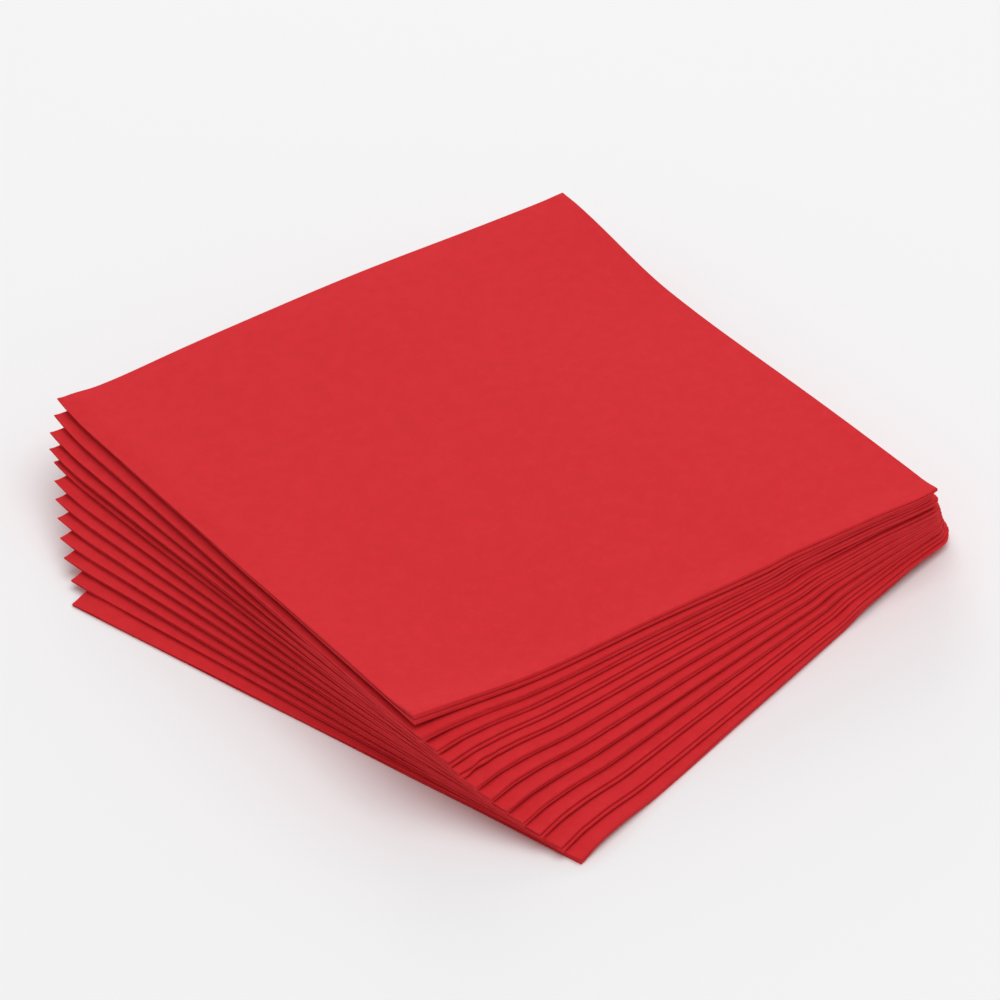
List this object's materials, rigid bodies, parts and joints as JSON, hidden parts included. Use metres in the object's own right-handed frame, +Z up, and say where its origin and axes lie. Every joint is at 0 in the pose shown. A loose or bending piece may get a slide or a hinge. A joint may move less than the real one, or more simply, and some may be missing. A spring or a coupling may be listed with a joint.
{
  "type": "stack of paper napkins",
  "caption": "Fanned stack of square paper napkins, each folded in four, with folded edges on two sides and raw edges on the others.",
  "frame": {"origin": "middle of the bottom napkin's underside", "axes": "+Z up, +X and +Y along the bottom napkin's sides, with its closed corner at +X -Y and its front corner at -X -Y"},
  "size_m": [0.2483, 0.2482, 0.0337],
  "materials": {
    "napkin_paper": "matt, soft"
  },
  "bodies": {
    "root": {"napkin_01": "napkin_paper", "napkin_02": "napkin_paper", "napkin_03": "napkin_paper", "napkin_04": "napkin_paper", "napkin_05": "napkin_paper", "napkin_06": "napkin_paper", "napkin_07": "napkin_paper", "napkin_08": "napkin_paper", "napkin_09": "napkin_paper", "napkin_10": "napkin_paper", "napkin_11": "napkin_paper", "napkin_12": "napkin_paper"}
  },
  "joints": []
}
